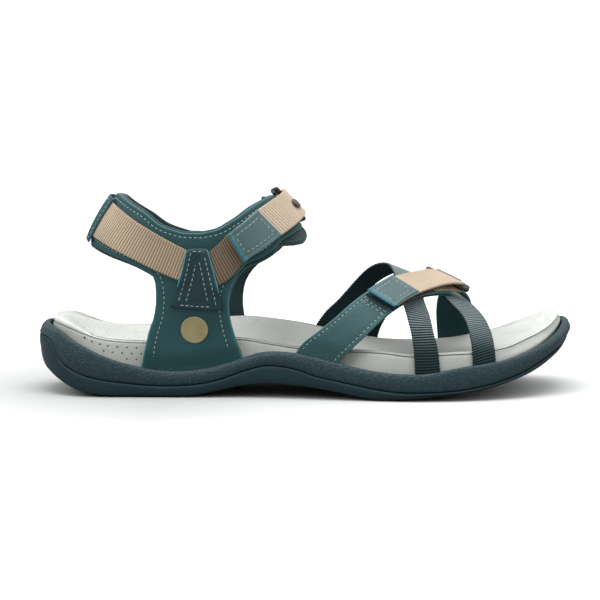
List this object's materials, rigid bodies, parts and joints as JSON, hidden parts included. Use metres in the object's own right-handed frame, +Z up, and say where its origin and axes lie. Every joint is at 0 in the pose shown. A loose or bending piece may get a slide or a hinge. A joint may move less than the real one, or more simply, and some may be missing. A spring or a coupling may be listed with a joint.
{
  "type": "sport sandal",
  "caption": "Strappy sport sandal for the right foot: contoured sole, padded ankle straps, webbing forefoot straps and hook-and-loop closures that fold through rings.",
  "frame": {"origin": "on the ground at the centre of the flat heel contact face", "axes": "+X from heel to toe, +Y to the medial (inner) side of the foot, +Z up; a right foot's sandal"},
  "size_m": [0.2612, 0.0961, 0.0983],
  "materials": {
    "rubber_outsole": "matte moulded rubber",
    "foam_midsole": "stippled matte foam",
    "fibre_board": "plain pressed fibre board",
    "foam_footbed": "smooth light grey foam, perforated at the heel",
    "suede_cover": "napped light grey suede",
    "teal_leather": "coated leather with a low sheen and stitched edges",
    "grey_teal_leather": "coated leather, paler, with a bright cut edge",
    "padded_lining": "padded knit lining",
    "tan_webbing": "ribbed woven webbing",
    "charcoal_webbing": "ribbed woven webbing",
    "closure_pile": "hook and loop tape",
    "ring_metal": "brushed wire",
    "badge_dark": "moulded plain oval",
    "badge_gold": "printed plain disc"
  },
  "bodies": {
    "root": {"outsole": "rubber_outsole", "midsole": "foam_midsole", "insole_board": "fibre_board", "footbed": "foam_footbed", "footbed_cover": "suede_cover", "lateral_quarter": "teal_leather", "lateral_lining": "padded_lining", "medial_quarter": "teal_leather", "medial_lining": "padded_lining", "heel_webbing": "tan_webbing", "heel_back_cover": "teal_leather", "lateral_keystone": "teal_leather", "medial_keystone": "teal_leather", "instep_base_webbing": "tan_webbing", "instep_loop_strip": "closure_pile", "instep_medial_webbing": "tan_webbing", "instep_ring_keeper": "teal_leather", "side_badge": "badge_gold", "front_lateral_strap": "teal_leather", "front_strap_lining": "padded_lining", "front_loop_strip": "closure_pile", "front_base_webbing": "tan_webbing", "front_medial_anchor": "teal_leather", "front_ring_keeper": "teal_leather", "cross_webbing_rear": "charcoal_webbing", "cross_webbing_front": "charcoal_webbing"},
    "instep_ring": {"instep_ring": "ring_metal"},
    "instep_strap": {"instep_tail": "tan_webbing", "instep_hook_patch": "closure_pile", "instep_tab": "grey_teal_leather", "instep_badge": "badge_dark"},
    "front_ring": {"front_ring": "ring_metal"},
    "front_strap": {"front_tail": "tan_webbing", "front_hook_patch": "closure_pile", "front_tab": "grey_teal_leather"}
  },
  "joints": [
    {"name": "instep_ring_pivot", "type": "hinge", "parent": "root", "child": "instep_ring", "pos_m": [0.06304, 0.0166, 0.08839], "axis": [-0.675, -0.0164, 0.7376], "range_deg": [0, 40]},
    {"name": "instep_strap_peel", "type": "hinge", "parent": "instep_ring", "child": "instep_strap", "pos_m": [0.06481, 0.007, 0.0898], "axis": [-0.675, -0.0164, 0.7376], "range_deg": [0, 130]},
    {"name": "front_ring_pivot", "type": "hinge", "parent": "root", "child": "front_ring", "pos_m": [0.14253, 0.00456, 0.05325], "axis": [-0.8983, 0.1016, 0.4274], "range_deg": [0, 40]},
    {"name": "front_strap_peel", "type": "hinge", "parent": "front_ring", "child": "front_strap", "pos_m": [0.14141, -0.00653, 0.05351], "axis": [-0.8983, 0.1016, 0.4274], "range_deg": [0, 130]}
  ]
}
